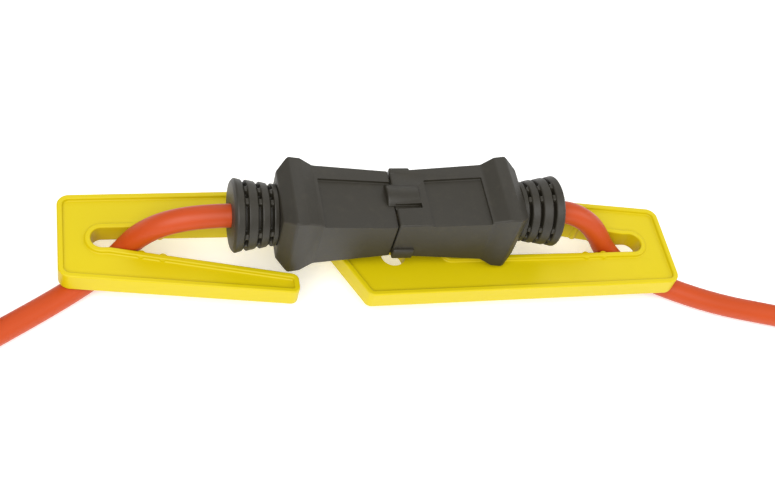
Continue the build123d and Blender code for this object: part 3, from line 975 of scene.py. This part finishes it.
class CORD_OT_inner_parts(bpy.types.Operator):
    """Finish the blades, contacts, inserts and inner wires"""

    bl_idname = "power_cord.inner_parts"
    bl_label = "Inserts, Metal and Wires"

    def execute(self, context):
        finishes = {
            "_insert": insert_finish(),
            "_blade": brass_finish(),
            "line_wire": wire_finish("black wire insulation", (0.02, 0.02, 0.02)),
            "neutral_wire": wire_finish("white wire insulation", (0.80, 0.79, 0.75)),
            "ground_wire": wire_finish("green wire insulation", (0.02, 0.22, 0.06)),
        }
        finishes["_pin"] = finishes["_contact"] = finishes["_blade"]
        for name, node in NODES.items():
            for ending, finish in finishes.items():
                if name.endswith(ending):
                    dress(node, finish)
        return {"FINISHED"}


# ---------------------------------------------------------------- ties


class CORD_OT_ties(bpy.types.Operator):
    """Close a strap round each hank"""

    bl_idname = "power_cord.ties"
    bl_label = "Hank Ties"

    def execute(self, context):
        weave = strap_finish()
        half_width = HANK_TURNS * CORD_R + STRAP_ROOM
        middle_y = HANK_Y + HANK_MID_R
        low_z, high_z = FLOOR_Z, FLOOR_Z + HANK_HEIGHT + STRAP_ROOM
        for side, middle_x in (
            ("left", LEFT_HANK_X - HANK_SPAN / 2),
            ("right", RIGHT_HANK_X + HANK_SPAN / 2),
        ):
            strap = block(
                side + "_hank_strap",
                (middle_x - STRAP_HALF_WIDTH, middle_y - half_width, low_z),
                (middle_x + STRAP_HALF_WIDTH, middle_y + half_width, high_z),
            )
            bpy.ops.object.mode_set(mode="EDIT")
            pick(strap, "EDGE", lambda edge: abs(edge.verts[0].co.x - edge.verts[1].co.x) > 0.01)
            bpy.ops.mesh.bevel(offset=CORD_R * MM, segments=8, profile=0.5, affect="EDGES")
            pick(strap, "FACE", lambda face: abs(face.normal.x) > 0.9)
            bpy.ops.mesh.delete(type="FACE")
            bpy.ops.object.mode_set(mode="OBJECT")
            wall = strap.modifiers.new("wall", "SOLIDIFY")
            wall.thickness = STRAP_THICK * MM
            wall.offset = -1.0
            bpy.ops.object.modifier_apply(modifier=wall.name)
            round_edges(strap, STRAP_EDGE, 60, 2)
            finish_mesh(strap, 35)
            dress(strap, weave)
            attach(strap, "lock_and_cords")
            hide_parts(side + "_tie")
        return {"FINISHED"}


class CORD_OT_declare(bpy.types.Operator):
    """Gather the far-end pieces, inner wires and hank strap of each cord, and leave them unused"""

    bl_idname = "power_cord.declare"
    bl_label = "Cord Facts"

    def execute(self, context):
        for side, prefix, way_out, far_end, inner in (
            ("left", "far_connector_", LEFT_EXIT, "connector",
             ("line_contact", "neutral_contact", "ground_contact")),
            ("right", "far_plug_", RIGHT_EXIT, "plug", ("line_blade", "neutral_blade", "ground_pin")),
        ):
            pieces = [bpy.data.objects[prefix + name + "_moulding"] for name in ("grip", "strain_relief")]
            pieces += [NODES[prefix + name] for name in ("insert", *inner)]
            pieces += [NODES[prefix + name] for name in ("line_wire", "neutral_wire", "ground_wire")]
            pieces.append(bpy.data.objects[side + "_hank_strap"])
        return {"FINISHED"}


# ---------------------------------------------------------------- panel and running


class CORD_PT_panel(bpy.types.Panel):
    """The steps and their sizes"""

    bl_label = "Locked Power Cord"
    bl_idname = "CORD_PT_panel"
    bl_space_type = "VIEW_3D"
    bl_region_type = "UI"
    bl_category = "Power Cord"

    def draw(self, context):
        layout = self.layout
        for operator, group in STEPS:
            box = layout.box()
            box.operator(operator.bl_idname)
            if group:
                settings = getattr(context.scene, group)
                for name in settings.__annotations__:
                    box.prop(settings, name)


STEPS = (
    (CORD_OT_stage, "power_cord_stage"),
    (CORD_OT_cords, "power_cord_cords"),
    (CORD_OT_lock, "power_cord_lock"),
    (CORD_OT_ends, "power_cord_mouldings"),
    (CORD_OT_inner_parts, ""),
    (CORD_OT_ties, ""),
    (CORD_OT_declare, ""),
)
GROUPS = (
    ("power_cord_stage", StageSettings),
    ("power_cord_cords", CordSettings),
    ("power_cord_lock", LockSettings),
    ("power_cord_mouldings", MouldingSettings),
)


def register():
    for name, group in GROUPS:
        bpy.utils.register_class(group)
        setattr(bpy.types.Scene, name, PointerProperty(type=group))
    for operator, _ in STEPS:
        bpy.utils.register_class(operator)
    bpy.utils.register_class(CORD_PT_panel)


def unregister():
    bpy.utils.unregister_class(CORD_PT_panel)
    for operator, _ in reversed(STEPS):
        bpy.utils.unregister_class(operator)
    for name, group in reversed(GROUPS):
        delattr(bpy.types.Scene, name)
        bpy.utils.unregister_class(group)


def main():
    register()
    bpy.ops.power_cord.stage()
    bpy.ops.power_cord.cords()
    bpy.ops.power_cord.lock()
    bpy.ops.power_cord.ends()
    bpy.ops.power_cord.inner_parts()
    bpy.ops.power_cord.ties()
    bpy.ops.power_cord.declare()
    deselect_all()


if __name__ == "__main__":
    main()
